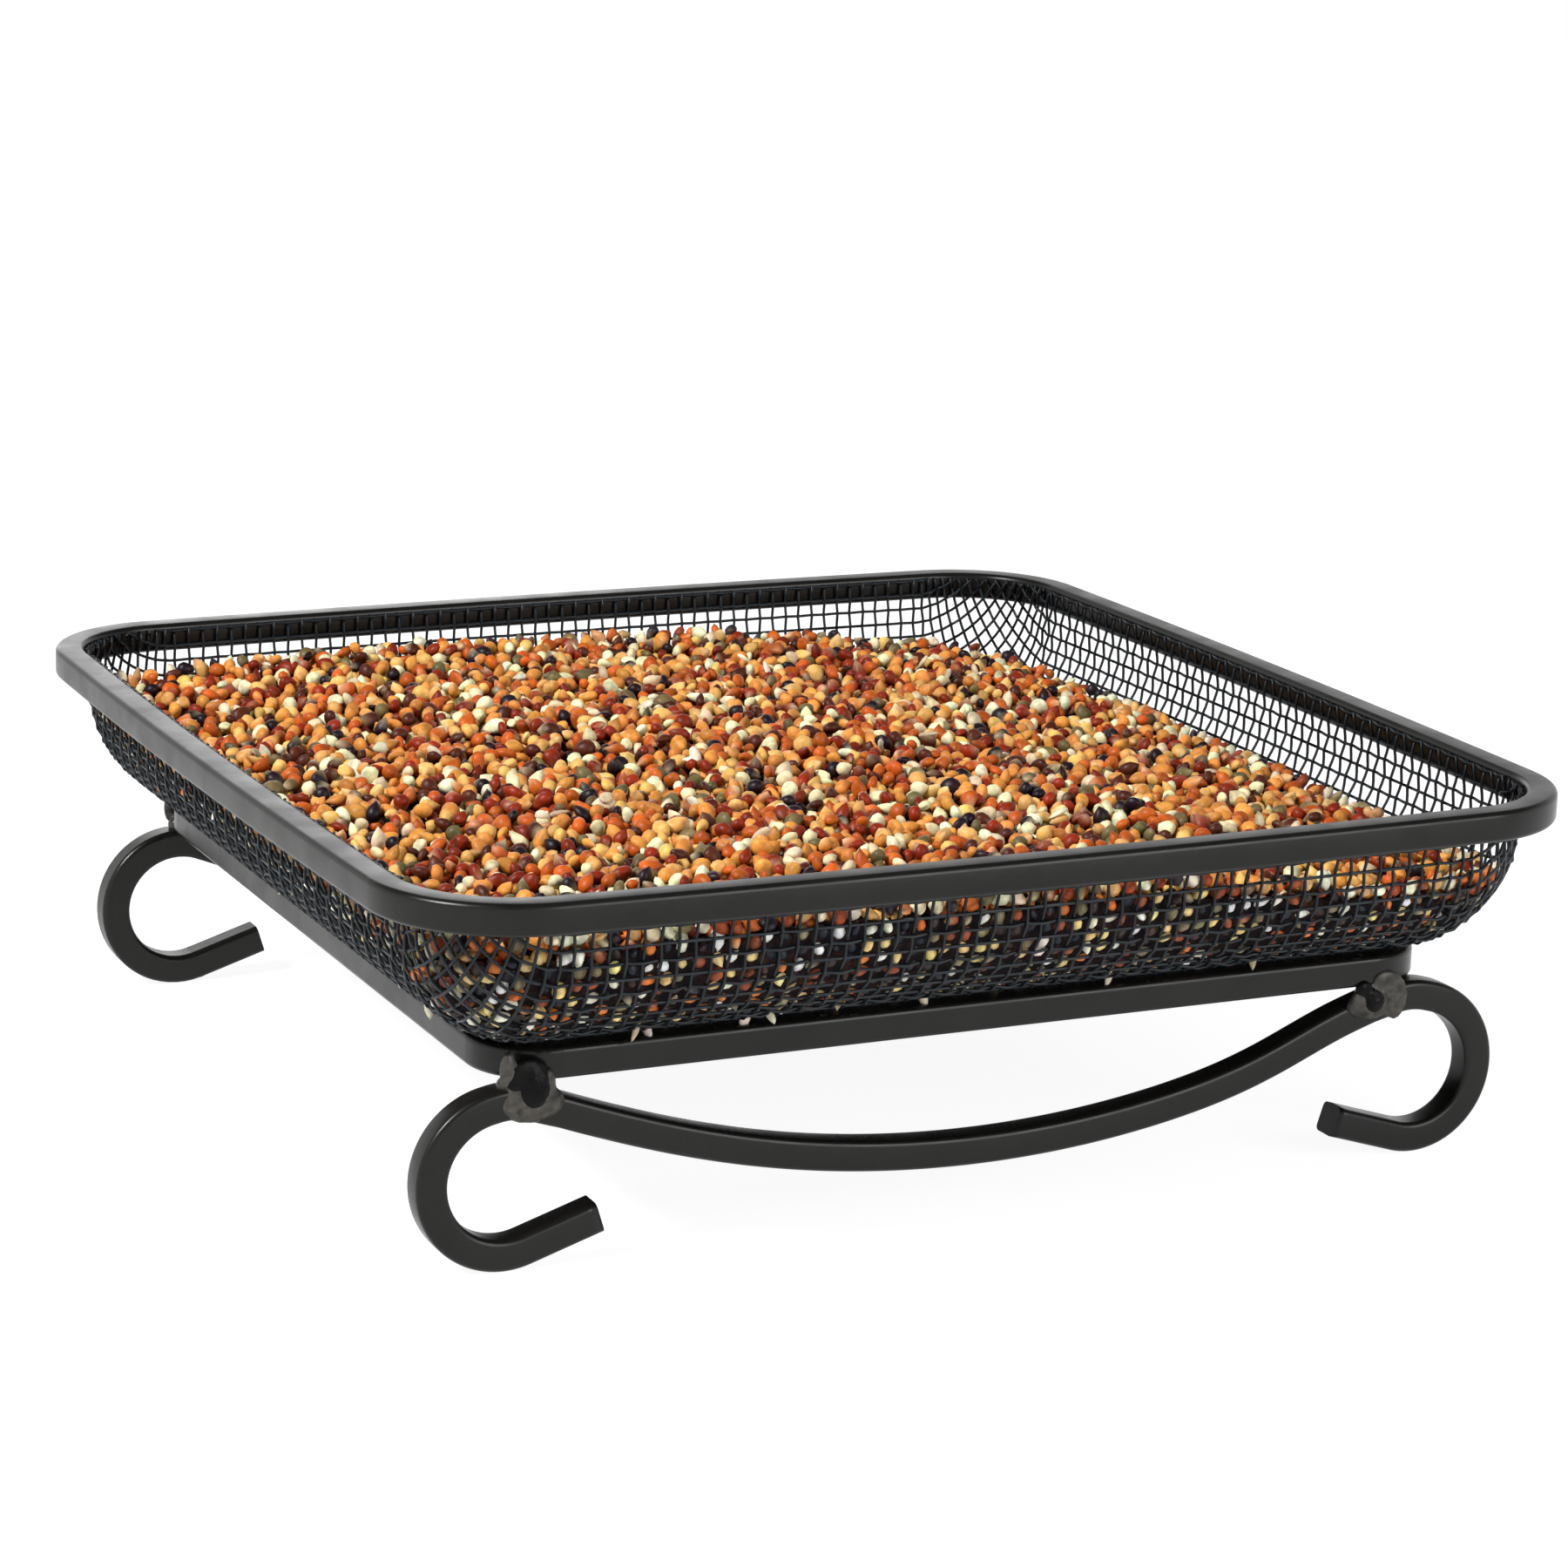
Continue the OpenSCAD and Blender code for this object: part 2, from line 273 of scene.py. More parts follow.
# World: its light, the sine of the elevation at which the white sweep ends in reflections, and how
# much further up and to what grey it darkens
SKY_COLOUR = (0.98, 0.99, 1.0, 1.0)
SKY_STRENGTH = 0.3
SWEEP_TOP = 0.36
SWEEP_FADE = 0.1
ROOM_GREY = 0.12

# Each lamp's name, place, width and power in watts, and the point that all of them face
LAMPS = [
    ("key", (-0.75, -0.15, 0.75), 0.28, 13.5),
    ("fill", (0.4, -0.85, 0.32), 0.6, 4.6),
    ("back", (0.15, 1.1, 0.3), 0.6, 1.0),
]
LAMP_AIM = Vector((0, 0, 0.04))

rng = random.Random(11)
np_rng = np.random.default_rng(11)


def srgb(r, g, b):
    """Linear colour from the 0 to 255 values of a screen colour."""
    def one(v):
        v = v / 255
        return v / 12.92 if v <= 0.04045 else ((v + 0.055) / 1.055) ** 2.4
    return (one(r), one(g), one(b), 1.0)


def grey(v):
    """Grey of a linear value."""
    return (v, v, v, 1.0)


# Seed colours, each with its share of the seeds: on the heap, behind the cloth with painted shade,
# along the heap's edge where it meets the cloth, and husks
PALETTE = [
    (0.20, srgb(196, 92, 26)), (0.14, srgb(138, 40, 10)), (0.23, srgb(226, 148, 66)),
    (0.15, srgb(240, 182, 100)), (0.13, srgb(255, 236, 188)), (0.08, srgb(82, 34, 16)),
    (0.06, srgb(32, 17, 24)), (0.05, srgb(110, 96, 58)),
]
# Painted shade: behind the cloth more seeds are dark or blue-black than on the heap, for the shade
# there
SHADE_PALETTE = [
    (0.24, srgb(22, 27, 38)), (0.14, srgb(54, 44, 42)), (0.13, srgb(132, 122, 92)),
    (0.10, srgb(146, 76, 48)), (0.08, srgb(222, 124, 58)), (0.14, srgb(240, 210, 140)),
    (0.17, srgb(255, 250, 230)),
]
EDGE_PALETTE = [
    (0.20, srgb(218, 168, 112)), (0.24, srgb(252, 236, 200)), (0.17, srgb(150, 66, 34)),
    (0.13, srgb(210, 112, 48)), (0.12, srgb(126, 108, 78)), (0.14, srgb(42, 32, 38)),
]
HUSK_PALETTE = [(0.6, srgb(232, 220, 196)), (0.4, srgb(204, 184, 148))]

# Germ ends: their two colours, where they start along a seed of unit size and over what length they
# come in, and how much of their colour they take
GERM_COLOURS = [srgb(250, 226, 180), srgb(84, 40, 22)]
GERM_START = 0.2
GERM_RUN = 0.9
GERM_SHARE = (0.0, 0.6)

# How lightness and each channel vary from seed to seed, and the brightest that a channel may be
TINT_LIGHT = (0.75, 1.2)
TINT_HUE = (0.92, 1.08)
TINT_MOST = 0.9


# Meshes

def make_object(name, verts, faces, smooth=True):
    """A mesh object from an array of points and an array or list of faces."""
    mesh = bpy.data.meshes.new(name)
    mesh.from_pydata([tuple(v) for v in verts], [], [tuple(f) for f in faces])
    mesh.validate()
    work = bmesh.new()
    work.from_mesh(mesh)
    bmesh.ops.recalc_face_normals(work, faces=work.faces)
    work.to_mesh(mesh)
    work.free()
    obj = bpy.data.objects.new(name, mesh)
    bpy.context.scene.collection.objects.link(obj)
    if smooth:
        mesh.polygons.foreach_set("use_smooth", [True] * len(mesh.polygons))
    return obj


def quick_object(name, verts, tris, tint=None):
    """A mesh object from arrays of points and triangles, with an optional colour for each point."""
    mesh = bpy.data.meshes.new(name)
    mesh.vertices.add(len(verts))
    mesh.vertices.foreach_set("co", np.ascontiguousarray(verts, dtype=np.float32).ravel())
    mesh.loops.add(3 * len(tris))
    mesh.loops.foreach_set("vertex_index", np.ascontiguousarray(tris, dtype=np.int32).ravel())
    mesh.polygons.add(len(tris))
    mesh.polygons.foreach_set("loop_start", np.arange(0, 3 * len(tris), 3, dtype=np.int32))
    mesh.polygons.foreach_set("use_smooth", np.ones(len(tris), dtype=bool))
    mesh.update(calc_edges=True)
    if tint is not None:
        attr = mesh.color_attributes.new("tint", "FLOAT_COLOR", "POINT")
        attr.data.foreach_set("color", np.ascontiguousarray(tint, dtype=np.float32).ravel())
    obj = bpy.data.objects.new(name, mesh)
    bpy.context.scene.collection.objects.link(obj)
    return obj


def ring_quads(rings, points, closed=False):
    """Quads between one ring of points and the next, and from the last to the first when closed."""
    quads = []
    for i in range(rings if closed else rings - 1):
        a = i * points
        b = (i + 1) % rings * points
        for k in range(points):
            q = (k + 1) % points
            quads.append((a + k, b + k, b + q, a + q))
    return quads


def loop_stations(half, corner, bow, per_side, per_corner):
    """Points and outward directions round a loop of four bowed sides and four round corners."""
    c = half - bow - corner
    # Radius of the long arc along each side, and half the angle that it spans
    big = (c * c + (corner + bow) ** 2 - corner * corner) / (2 * bow)
    span = math.asin(c / (big - corner))
    first, last = span, math.pi / 2 - span
    out = []
    for turn in range(4):
        a0 = turn * math.pi / 2
        ca, sa = math.cos(a0), math.sin(a0)
        steps = [(half - big, 0.0, big, -span + 2 * span * k / per_side) for k in range(per_side)]
        for k in range(per_corner):
            steps.append((c, c, corner, first + (last - first) * k / per_corner))
        for x0, y0, r, a in steps:
            x, y = x0 + r * math.cos(a), y0 + r * math.sin(a)
            dx, dy = math.cos(a), math.sin(a)
            out.append((x * ca - y * sa, x * sa + y * ca, dx * ca - dy * sa, dx * sa + dy * ca))
    return np.array(out)


def rounded_square(side, edge):
    """Section of a square bar about its middle, as points in order."""
    pts = []
    flat = side / 2 - edge
    for quarter, (sx, sy) in enumerate([(1, 1), (-1, 1), (-1, -1), (1, -1)]):
        for k in range(EDGE_STEPS + 1):
            a = (quarter + k / EDGE_STEPS) * math.pi / 2
            pts.append((sx * flat + edge * math.cos(a), sy * flat + edge * math.sin(a)))
    return np.array(pts)


def closed_sweep(stations, section, z):
    """Points and quads of a section swept round closed stations. Section x is outwards, y is up."""
    n, m = len(stations), len(section)
    verts = np.zeros((n, m, 3))
    verts[:, :, 0] = stations[:, 0, None] + stations[:, 2, None] * section[None, :, 0]
    verts[:, :, 1] = stations[:, 1, None] + stations[:, 3, None] * section[None, :, 0]
    verts[:, :, 2] = z + section[None, :, 1]
    return verts.reshape(-1, 3), ring_quads(n, m, closed=True)


# The basket's surface, as a flat sheet that is wrapped up the sides. Its core lies flat on the floor,
# and outside the core the section runs on through the bend, the leaning side and the upright lip.

CORE = RIM_HALF - BAR - LIP_FIT - BOW - LIP_CORNER
BEND_CENTRE_Z = FLOOR_Z + BEND_R
RIM_UNDER = RIM_TOP - BAR
LEAN_LOW_Z = BEND_CENTRE_Z - BEND_R * math.sin(LEAN)
LEAN_RUN = (RIM_UNDER - LEAN_LOW_Z) * math.tan(LEAN)
BEND_START = LIP_CORNER - LEAN_RUN - BEND_R * math.cos(LEAN)
MID = CLOTH_T / 2
BEND_MID_R = BEND_R - MID
BEND_LEN = BEND_MID_R * (math.pi / 2 - LEAN)
LEAN_LEN = (RIM_UNDER - LEAN_LOW_Z) / math.cos(LEAN)
LIP_LEN = LIP_Z - RIM_UNDER
REACH = BEND_START + BEND_LEN + LEAN_LEN + LIP_LEN


def section_at(rho):
    """How far out from the core and how high the cloth's middle is, by length along the section."""
    rho = np.asarray(rho, float)
    bend_end = BEND_START + BEND_LEN
    lean_end = bend_end + LEAN_LEN
    a = np.clip((rho - BEND_START) / BEND_MID_R, 0, math.pi / 2 - LEAN)
    r = np.minimum(rho, BEND_START) + BEND_MID_R * np.sin(a)
    z = FLOOR_Z + MID + BEND_MID_R * (1 - np.cos(a))
    lean = np.clip(rho - bend_end, 0, LEAN_LEN)
    r = r + lean * math.sin(LEAN)
    z = z + lean * math.cos(LEAN)
    z = z + np.maximum(rho - lean_end, 0)
    return r, z


def wrap(u, v):
    """Place on the basket's middle surface of a point of the flat sheet."""
    u, v = np.asarray(u, float), np.asarray(v, float)
    cx, cy = np.clip(u, -CORE, CORE), np.clip(v, -CORE, CORE)
    dx, dy = u - cx, v - cy
    rho = np.hypot(dx, dy)
    safe = np.maximum(rho, LEAST_RHO)
    ex, ey = dx / safe, dy / safe
    part_x, part_y = np.abs(ex), np.abs(ey)
    r, z = section_at(rho)
    k = np.clip((z - FLOOR_Z) / (RIM_UNDER - FLOOR_Z), 0, 1)
    k = k * k * (3 - 2 * k)
    # In a corner the lip spreads out to meet the rim's tighter inner corner
    run = LIP_CORNER - MID
    gap = RIM_HALF - BOW - RIM_CORNER - CORE
    inner = RIM_CORNER - BAR - LIP_FIT - MID
    along = gap * (part_x + part_y)
    to_round = along + np.sqrt(np.maximum(along ** 2 - 2 * gap ** 2 + inner ** 2, 0))
    to_side = run / np.maximum(np.maximum(part_x, part_y), LEAST_PART)
    meets_side = to_side * np.minimum(part_x, part_y) < gap
    spread = np.where(meets_side, to_side, to_round) - run
    r = r + np.maximum(spread, 0) * k * np.clip(r / LIP_CORNER, 0, 1)
    x = cx + ex * r
    y = cy + ey * r
    # Each side bows outwards with height
    square_x = (part_x > LEAST_PART) & (part_y < SQUARE_PART)
    square_y = (part_y > LEAST_PART) & (part_x < SQUARE_PART)
    x = x + np.sign(ex) * BOW * (1 - (cy / CORE) ** 2) * k * square_x
    y = y + np.sign(ey) * BOW * (1 - (cx / CORE) ** 2) * k * square_y
    return np.stack([x, y, z], axis=-1)


def normal_at(u, v):
    """Unit normal of the basket's surface, pointing into the tray."""
    step = 0.05 * MM
    du = wrap(u + step, v) - wrap(u - step, v)
    dv = wrap(u, v + step) - wrap(u, v - step)
    n = np.cross(du, dv)
    return n / np.maximum(np.linalg.norm(n, axis=-1, keepdims=True), LEAST_NORMAL)


def past_core(u, v):
    """Distance of a point of the flat sheet from the core."""
    return np.hypot(np.maximum(np.abs(u) - CORE, 0), np.maximum(np.abs(v) - CORE, 0))


def tubes(paths, normals, radius, sides):
    """One mesh of round wires, each along its own path, with flat ends."""
    verts, tris, base = [], [], 0
    ring = np.arange(sides) * 2 * math.pi / sides
    for p, nrm in zip(paths, normals):
        t = np.gradient(p, axis=0)
        t /= np.linalg.norm(t, axis=1, keepdims=True)
        n = nrm - t * np.sum(nrm * t, axis=1, keepdims=True)
        n /= np.linalg.norm(n, axis=1, keepdims=True)
        b = np.cross(t, n)
        round_n = np.cos(ring)[None, :, None] * n[:, None]
        round_b = np.sin(ring)[None, :, None] * b[:, None]
        verts.append((p[:, None] + radius * (round_n + round_b)).reshape(-1, 3))
        m = len(p)
        i = np.arange(m - 1)[:, None] * sides
        k = np.arange(sides)[None, :]
        q = (k + 1) % sides
        a, c, d, e = i + k, i + q, i + sides + q, i + sides + k
        tris.append(base + np.stack([a, c, d], -1).reshape(-1, 3))
        tris.append(base + np.stack([a, d, e], -1).reshape(-1, 3))
        for end, turn in ((0, 1), ((m - 1) * sides, -1)):
            fan = [(end, end + s, end + s + 1)[::-turn] for s in range(1, sides - 1)]
            tris.append(base + np.array(fan))
        base += m * sides
    return np.concatenate(verts), np.concatenate(tris)


def wire_paths(first, last, along_v):
    """Paths and normals of the wires numbered first to last, along one way of the cloth."""
    paths, normals = [], []
    step = PITCH / 2
    # Points nearer to a wire's end than this give way to the end
    least = 0.2 * PITCH
    for i in range(first, last):
        fixed = (i + 0.5) * PITCH
        over = abs(fixed) - CORE
        if over >= REACH:
            continue
        end = CORE + (REACH if over <= 0 else math.sqrt(REACH ** 2 - over ** 2))
        if end < PITCH:
            continue
        steps = int(2 * end / step)
        run = (np.arange(steps + 1) - steps / 2) * step
        # Snap the run to the crossings, which lie at odd halves of the pitch
        run = np.round(run / step) * step
        run = np.concatenate([[-end], run[np.abs(run) < end - least], [end]])
        u, v = (np.full_like(run, fixed), run) if along_v else (run, np.full_like(run, fixed))
        n = normal_at(u, v)
        sign = (-1) ** i * (1 if along_v else -1)
        wave = SWING * sign * np.sin(math.pi * run / PITCH)
        paths.append(wrap(u, v) + n * wave[:, None])
        normals.append(n)
    return paths, normals


# The heap's form

def heap_top(x, y):
    """Height of the heap's surface: a broad crown to the left, with low lumps, as in the solid."""
    x, y = np.asarray(x) / MM, np.asarray(y) / MM
    lumps = LUMP_RISE * np.sin(2 * math.pi * x / LUMP_LONG + math.radians(PHASE_LONG))
    lumps = lumps * np.cos(2 * math.pi * y / LUMP_WIDE - math.radians(PHASE_WIDE))
    crossing = np.sin(2 * math.pi * (x + y) / LUMP_SHORT + math.radians(PHASE_SHORT))
    lumps = lumps + LUMP_RISE / 2 * crossing
    return RIM_TOP - SEED_DROP + (lumps - (x + CROWN_SHIFT / MM) ** 2 / (2 * CROWN_R / MM)) * MM


def room_at(z):
    """How far out from the core the cloth's inner face lies at a given height."""
    z = min(max(z, FLOOR_Z + CLOTH_T), RIM_UNDER)
    if z > LEAN_LOW_Z:
        return LIP_CORNER - (RIM_UNDER - z) * math.tan(LEAN) - CLOTH_T
    rise = BEND_CENTRE_Z - z
    inner = BEND_R - CLOTH_T
    return BEND_START + math.sqrt(max(inner ** 2 - rise ** 2, 0))


def heap_core():
    """Body under the seeds, dark with painted shade, so that nothing but shade shows between them."""
    a = (np.arange(CORE_COLUMNS) + 0.5) * 2 * math.pi / CORE_COLUMNS
    ex, ey = np.cos(a), np.sin(a)
    flat = np.stack([ex, ey], -1) / np.maximum(np.abs(ex), np.abs(ey))[:, None]
    rings = []
    for s in FLOOR_RINGS:
        u, v = flat[:, 0] * CORE * s, flat[:, 1] * CORE * s
        rings.append(wrap(u, v) + normal_at(u, v) * CORE_LOW_INSET)
    # Outward directions: square to each side, and fanned out round each corner
    fan = np.clip((np.abs(flat) - FAN_START) / FAN_RUN, 0, 1) * np.sign(flat)
    fan /= np.linalg.norm(fan, axis=1, keepdims=True)

    def up_the_side(rho):
        u, v = (flat * CORE + fan * rho[:, None]).T
        up = np.minimum(rho / (BEND_START + BEND_LEN), 1)
        inset = CORE_LOW_INSET + (CORE_INSET - CORE_LOW_INSET) * up
        return wrap(u, v) + normal_at(u, v) * inset[:, None]

    # Each column of the side stops where it meets the heap's underlying surface
    low, high = np.full(CORE_COLUMNS, CORE_LEAST_RISE), np.full(CORE_COLUMNS, REACH)
    for _ in range(CORE_HALVINGS):
        middle = (low + high) / 2
        p = up_the_side(middle)
        under = p[:, 2] < heap_top(p[:, 0], p[:, 1]) - CORE_DEPTH
        low, high = np.where(under, middle, low), np.where(under, high, middle)
    for s in SIDE_RINGS:
        rings.append(up_the_side(low * s))
    edge = rings[-1]
    for s in TOP_RINGS:
        p = edge * np.array([s, s, 1])
        p[:, 2] = heap_top(p[:, 0], p[:, 1]) - CORE_DEPTH
        rings.append(p)
    faces = [(a, d, c, b) for a, b, c, d in ring_quads(len(rings), CORE_COLUMNS)]
    last = (len(rings) - 1) * CORE_COLUMNS
    faces.append(tuple(range(CORE_COLUMNS))[::-1])
    faces.append(tuple(last + k for k in range(CORE_COLUMNS)))
    return make_object("heap_core", np.concatenate(rings), faces)


# Seeds

def seed_shape(segs, rings):
    """Points, triangles and tip shares of a seed of unit size, drawn to a blunt germ end at its top."""
    pts = [(0, 0, -1.0)]
    for i in range(1, rings):
        a = math.pi * i / rings
        z = -math.cos(a)
        r = math.sin(a) * (1 - SEED_TAPER * z)
        for k in range(segs):
            t = 2 * math.pi * (k + 0.5 * (i % 2)) / segs
            flat = SEED_FLAT if math.sin(t) < 0 else 1.0
            pts.append((r * math.cos(t), r * math.sin(t) * flat, z))
    pts.append((0, 0, SEED_TIP))
    tris = []
    for k in range(segs):
        q = (k + 1) % segs
        tris.append((0, 1 + q, 1 + k))
        for i in range(rings - 2):
            a, b = 1 + i * segs + k, 1 + i * segs + q
            c, d = a + segs, b + segs
            # Odd rows are turned by half a step, so the diagonal changes sides from row to row
            tris += [(a, b, c), (b, d, c)] if i % 2 else [(a, b, d), (a, d, c)]
        top = 1 + (rings - 2) * segs
        tris.append((top + k, top + q, len(pts) - 1))
    pts = np.array(pts, float)
    return pts, np.array(tris), np.clip((pts[:, 2] - GERM_START) / GERM_RUN, 0, 1)


def random_turns(n):
    """Random rotation matrices, one for each seed."""
    q = np_rng.normal(size=(n, 4))
    q /= np.linalg.norm(q, axis=1, keepdims=True)
    w, x, y, z = q.T
    return np.stack([
        np.stack([1 - 2 * (y * y + z * z), 2 * (x * y - z * w), 2 * (x * z + y * w)], -1),
        np.stack([2 * (x * y + z * w), 1 - 2 * (x * x + z * z), 2 * (y * z - x * w)], -1),
        np.stack([2 * (x * z - y * w), 2 * (y * z + x * w), 1 - 2 * (x * x + y * y)], -1)], 1)


def seed_tints(n, palette, tip):
    """A colour for each point of each seed: one from the palette, with a paler or darker germ end."""
    weights = np.array([w for w, _ in palette])
    colours = np.array([c for _, c in palette])
    tint = colours[np_rng.choice(len(palette), size=n, p=weights / weights.sum())]
    light = np_rng.uniform(*TINT_LIGHT, size=(n, 1))
    hue = np_rng.uniform(*TINT_HUE, size=(n, 3))
    tint[:, :3] *= light * hue
    ends = np.array(GERM_COLOURS)[np_rng.integers(0, len(GERM_COLOURS), n)]
    share = np_rng.uniform(*GERM_SHARE, size=(n, 1, 1)) * tip[None, :, None]
    return np.clip(tint[:, None] * (1 - share) + ends[:, None] * share, 0, TINT_MOST)


def seed_object(name, centres, sizes, palette, detail, shape=SEED_SHAPE):
    """Seeds at their places as one mesh, each with its own turn, build, lumps and colour."""
    pts, tris, tip = seed_shape(*detail)
    n = len(centres)
    build = np.stack([np_rng.uniform(lo, hi, n) for lo, hi in shape], -1)
    axis = np_rng.normal(size=(n, 3, 2))
    phase = np_rng.uniform(*SEED_PHASES, size=(n, 1, 2))
    waves = np.sin(SEED_WAVES * np.einsum("kj,njc->nkc", pts, axis) + phase)
    lumps = 1 + SEED_LUMP * waves.sum(-1)
    body = pts[None] * build[:, None] * lumps[:, :, None]
    turned = np.einsum("nij,nkj->nki", random_turns(n), body)
    verts = centres[:, None] + turned * sizes[:, None, None]
    faces = tris[None] + (np.arange(n) * len(pts))[:, None, None]
    return quick_object(name, verts.reshape(-1, 3), faces.reshape(-1, 3), seed_tints(n, palette, tip))


def drop_cell(x, y):
    """Cell of the grid that dropped seeds are kept in."""
    return int(x // DROP_CELL), int(y // DROP_CELL)


def resting_height(x, y, z, size, grid):
    """Height at which a seed over a place comes to rest on its neighbours, or on the bed at z."""
    gx, gy = drop_cell(x, y)
    for i in (gx - 1, gx, gx + 1):
        for j in (gy - 1, gy, gy + 1):
            for px, py, pz, other in grid.get((i, j), ()):
                d2 = (px - x) ** 2 + (py - y) ** 2
                touch = DROP_TOUCH * (other + size)
                if d2 < touch * touch:
                    z = max(z, pz + math.sqrt(touch * touch - d2))
    return z


def drop_seeds():
    """Drops seeds one by one on a bed under the heap's surface until the heap is full."""
    grid = {}
    placed = []
    reach = RIM_HALF - BAR - CLOTH_T
    misses = 0
    while misses < DROP_MISSES and len(placed) < DROP_MOST:
        best = None
        size = rng.uniform(*DROP_RADII) * MM
        for _ in range(DROP_TRIES):
            x, y = rng.uniform(-reach, reach), rng.uniform(-reach, reach)
            top = float(heap_top(x, y))
            if past_core(x, y) > room_at(top - size) - DROP_WALL_GAP * size:
                continue
            z = resting_height(x, y, top - DROP_BED + size, size, grid)
            if best is None or z - top < best[0]:
                best = (z - top, x, y, z)
        if best is None or best[0] > -DROP_FULL * size:
            misses += 1
            continue
        misses = 0
        _, x, y, z = best
        placed.append((x, y, z, size))
        grid.setdefault(drop_cell(x, y), []).append(placed[-1])
    return np.array(placed)


def keep_apart(places, least):
    """Numbers of the places that stay at least so far from all those that were chosen before."""
    chosen, grid = [], {}
    for n, place in enumerate(places):
        key = tuple(int(c // least) for c in place)
        near = [m for i in (-1, 0, 1) for j in (-1, 0, 1) for k in (-1, 0, 1)
                for m in grid.get((key[0] + i, key[1] + j, key[2] + k), ())]
        if all(np.sum((place - places[m]) ** 2) > least ** 2 for m in near):
            chosen.append(n)
            grid.setdefault(key, []).append(n)
    return chosen


def wall_seeds():
    """Seeds that lie in the cloth's openings, over the floor and up the sides to the heap's edge."""
    spots = []
    count = int((CORE + REACH) / PITCH)
    for j in range(-count, count + 1):
        for i in range(-count, count + 1):
            u = i * PITCH + rng.uniform(-WALL_SHIFT, WALL_SHIFT) * MM
            v = j * PITCH + rng.uniform(-WALL_SHIFT, WALL_SHIFT) * MM
            if past_core(u, v) <= REACH - LIP_LEN:
                spots.append((u, v, rng.uniform(*WALL_RADII) * MM))
    u, v, size = np.array(spots).T
    low = past_core(u, v) < BEND_START + WALL_LOW_RUN
    back = np.where(low, WALL_LOW_BACK, WALL_BACK) * size
    inward = back + np_rng.uniform(*WALL_GAP, len(size)) * MM
    p = wrap(u, v) + normal_at(u, v) * inward[:, None]
    keep = p[:, 2] < heap_top(p[:, 0], p[:, 1]) - WALL_UNDER_TOP
    p, size = p[keep], size[keep]
    # Where the corners crowd the sheet, seeds that would lie inside another are left out
    chosen = keep_apart(p, WALL_APART)
    return p[chosen], size[chosen]


def poking_husks():
    """Husks that poke out through the cloth low on the front and the left."""
    pts, tris, tip = seed_shape(*HUSK_DETAIL)
    verts, faces = [], []
    for n, (wall, share, up) in enumerate(HUSK_SPOTS):
        # The middle of the mesh opening that is nearest to the wanted place
        along = round(share * CORE / PITCH) * PITCH
        across = -(CORE + round((BEND_START + BEND_LEN * up) / PITCH) * PITCH)
        u, v = (along, across) if wall == "front" else (across, along)
        place, out = wrap(u, v), -normal_at(u, v)
        z = out + np.array([rng.uniform(*span) for span in POKE_TILT])
        z /= np.linalg.norm(z)
        x = np.cross(z, POKE_ASIDE)
        x /= np.linalg.norm(x)
        turn = np.stack([x, np.cross(z, x), z], -1)
        body = pts * np.array([rng.uniform(*span) for span in POKE_SHAPE]) * MM
        verts.append(place + body @ turn.T + z * rng.uniform(*POKE_OUT) * MM)
        faces.append(tris + n * len(pts))
    tint = seed_tints(len(HUSK_SPOTS), HUSK_PALETTE, tip)
    return quick_object("poking_husks", np.concatenate(verts), np.concatenate(faces), tint)


# Welds

def weld_lump(centre, parts):
    """A closed lump of weld: rays from its centre reach out to a smooth union of its ellipsoids."""
    a = math.pi * np.arange(1, WELD_ROWS) / WELD_ROWS
    t = 2 * math.pi * np.arange(WELD_COLUMNS) / WELD_COLUMNS
    grid = np.stack(np.broadcast_arrays(np.sin(a)[:, None] * np.cos(t), np.cos(a)[:, None] + 0 * t,
                                        np.sin(a)[:, None] * np.sin(t)), -1).reshape(-1, 3)
    rays = np.concatenate([[(0, 1, 0)], grid, [(0, -1, 0)]])
    near, far = np.zeros(len(rays)), np.full(len(rays), WELD_REACH)
    for _ in range(WELD_HALVINGS):
        half = (near + far) / 2
        p = centre + rays * half[:, None]
        field = np.zeros(len(rays))
        for middle, radii in parts:
            inside = 1 - np.sum(((p - np.array(middle)) / np.array(radii)) ** 2, axis=1)
            field = field + np.exp(WELD_BLEND * inside)
        near, far = np.where(field > 1, half, near), np.where(field > 1, far, half)
    p = centre + rays * near[:, None]
    lift = []
    for q in p:
        coarse = mathutils_noise.noise(Vector(q * WELD_COARSE))
        fine = mathutils_noise.noise(Vector(q * WELD_FINE))
        lift.append(coarse + WELD_FINE_SHARE * fine)
    p = p + rays * (WELD_ROUGH * np.array(lift))[:, None]
    faces = []
    for k in range(WELD_COLUMNS):
        q = (k + 1) % WELD_COLUMNS
        faces.append((0, 1 + q, 1 + k))
        for i in range(WELD_ROWS - 2):
            b = 1 + i * WELD_COLUMNS
            faces.append((b + k, b + q, b + WELD_COLUMNS + q, b + WELD_COLUMNS + k))
        b = 1 + (WELD_ROWS - 2) * WELD_COLUMNS
        faces.append((b + k, b + q, len(p) - 1))
    return p, faces


